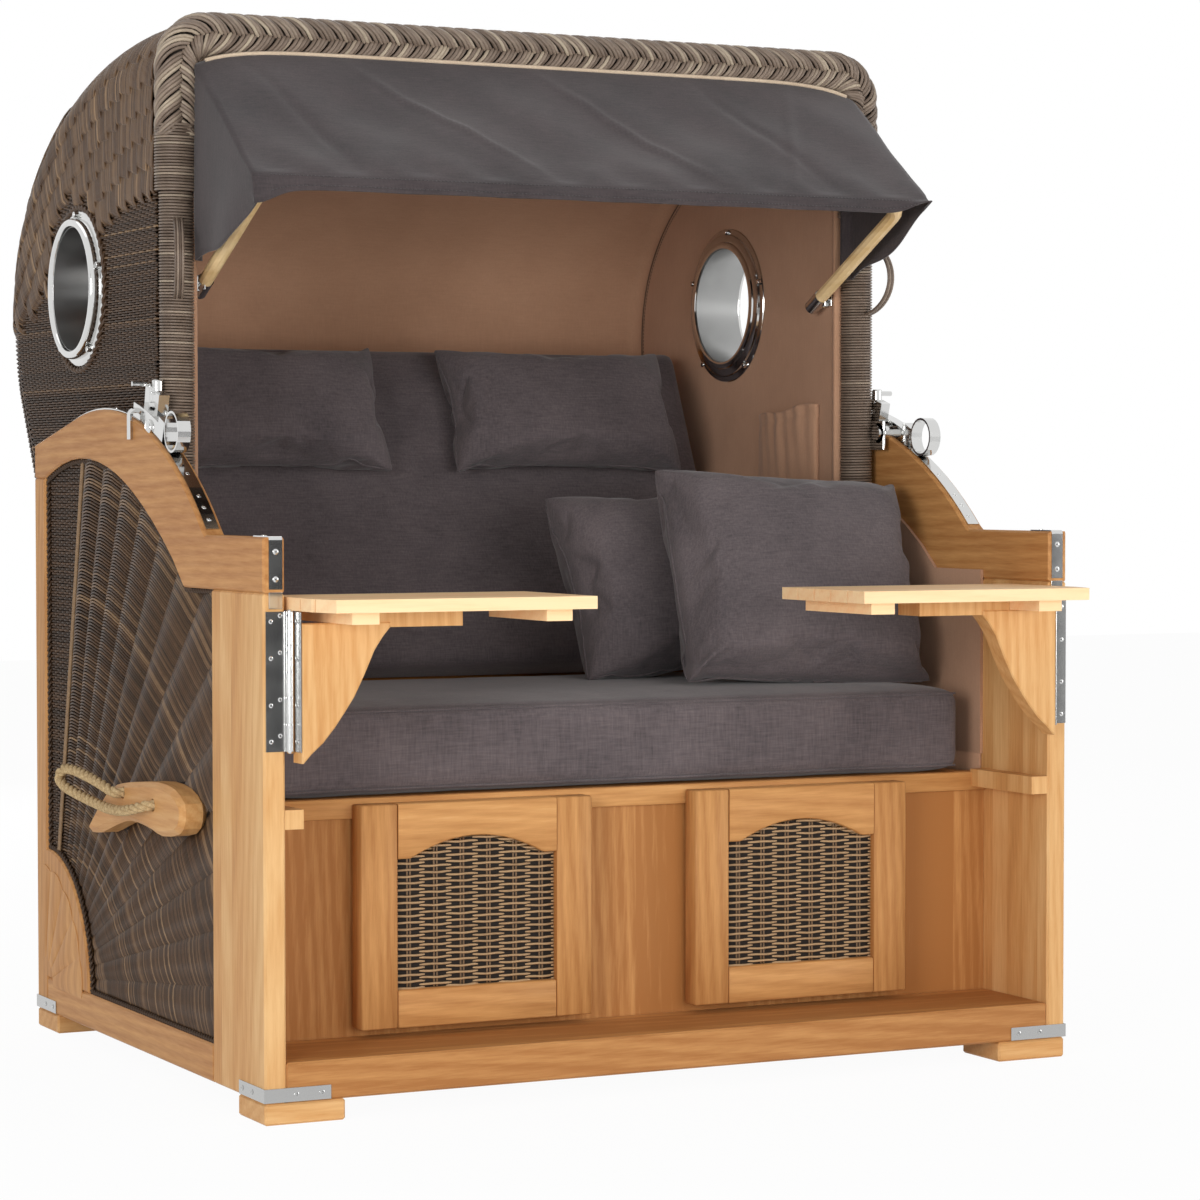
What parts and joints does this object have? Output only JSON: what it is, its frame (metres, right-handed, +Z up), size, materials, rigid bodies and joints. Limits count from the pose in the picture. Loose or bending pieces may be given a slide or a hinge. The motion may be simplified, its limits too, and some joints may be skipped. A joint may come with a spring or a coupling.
{
  "type": "hooded beach chair",
  "caption": "Hooded wicker beach chair for seating side by side, with reclining hood, awning, portholes, swing-out tables and pull-out footrests in a teak box.",
  "frame": {"origin": "centre of the whole chair's bounding box, on the floor", "axes": "+X to the viewer's right, the chair faces -Y, +Z up"},
  "size_m": [1.4654, 1.47, 1.5999],
  "materials": {
    "teak": "bare golden teak, oiled, satin",
    "polyrattan": "grey-brown round plastic wicker strands, satin",
    "lining_cloth": "plain taupe canvas, matt",
    "outdoor_cloth": "charcoal woven outdoor cloth, matt",
    "stainless": "polished stainless steel",
    "rope": "pale twisted rope",
    "cane": "peeled pale cane, satin"
  },
  "bodies": {
    "lower_box": {"arm_rail_left": "teak", "arm_rail_right": "teak", "bottom_rail_left": "teak", "bottom_rail_right": "teak", "foot_front_left": "teak", "foot_front_right": "teak", "foot_rear_left": "teak", "foot_rear_right": "teak", "front_panel": "teak", "front_post_left": "teak", "front_post_right": "teak", "front_sill": "teak", "guide_strip_left": "stainless", "guide_strip_right": "stainless", "handle_block_left": "teak", "handle_block_right": "teak", "rear_panel": "teak", "rear_stile_left": "teak", "rear_stile_right": "teak", "rope_left": "rope", "rope_right": "rope", "seat_board": "teak", "seat_cushion": "outdoor_cloth", "seat_side_left": "teak", "seat_side_right": "teak", "side_lining_left": "lining_cloth", "side_lining_right": "lining_cloth", "side_wicker_left": "polyrattan", "side_wicker_right": "polyrattan", "square_pillow_front": "outdoor_cloth", "square_pillow_rear": "outdoor_cloth", "table_hinge_left": "stainless", "table_hinge_right": "stainless"},
    "hood": {"hood_shell": "polyrattan", "hood_lining": "lining_cloth", "hood_rim": "polyrattan", "backrest": "teak", "back_cushion": "outdoor_cloth", "awning": "outdoor_cloth", "hood_arm_left": "teak", "hood_arm_right": "teak", "porthole_left": "stainless", "porthole_right": "stainless", "neck_pillow_left": "outdoor_cloth", "neck_pillow_right": "outdoor_cloth", "clamp_left": "stainless", "clamp_right": "stainless"},
    "bow": {"awning_bow": "cane"},
    "table_left": {"table_top_left": "teak", "table_bracket_left": "teak"},
    "footrest_left": {"footrest_front_left": "teak", "footrest_wicker_left": "polyrattan", "footrest_drawer_left": "teak"},
    "loop_left": {"loop_handle_left": "stainless"},
    "table_right": {"table_top_right": "teak", "table_bracket_right": "teak"},
    "footrest_right": {"footrest_front_right": "teak", "footrest_wicker_right": "polyrattan", "footrest_drawer_right": "teak"},
    "loop_right": {"loop_handle_right": "stainless"}
  },
  "joints": [
    {"name": "hood_recline", "type": "hinge", "parent": "lower_box", "child": "hood", "pos_m": [0, 0.105, 0.336], "axis": [-1, 0, 0], "range_deg": [0, 25]},
    {"name": "bow_lift", "type": "hinge", "parent": "hood", "child": "bow", "pos_m": [0, -0.022, 1.187], "axis": [-1, 0, 0], "range_deg": [0, 40], "deforming": ["awning"]},
    {"name": "table_swing_left", "type": "hinge", "parent": "lower_box", "child": "table_left", "pos_m": [-0.6235, -0.6025, 0.732], "axis": [0, 0, -1], "range_deg": [0, 90]},
    {"name": "table_swing_right", "type": "hinge", "parent": "lower_box", "child": "table_right", "pos_m": [0.6235, -0.6025, 0.732], "axis": [0, 0, 1], "range_deg": [0, 90]},
    {"name": "footrest_slide_left", "type": "slide", "parent": "lower_box", "child": "footrest_left", "axis": [0, -1, 0], "range_m": [0, 0.4]},
    {"name": "footrest_slide_right", "type": "slide", "parent": "lower_box", "child": "footrest_right", "axis": [0, -1, 0], "range_m": [0, 0.4]},
    {"name": "loop_lift_left", "type": "hinge", "parent": "hood", "child": "loop_left", "pos_m": [-0.644, -0.17681, 0.97797], "axis": [-1, 0, 0], "range_deg": [0, 60]},
    {"name": "loop_lift_right", "type": "hinge", "parent": "hood", "child": "loop_right", "pos_m": [0.644, -0.17681, 0.97797], "axis": [-1, 0, 0], "range_deg": [0, 60]}
  ]
}
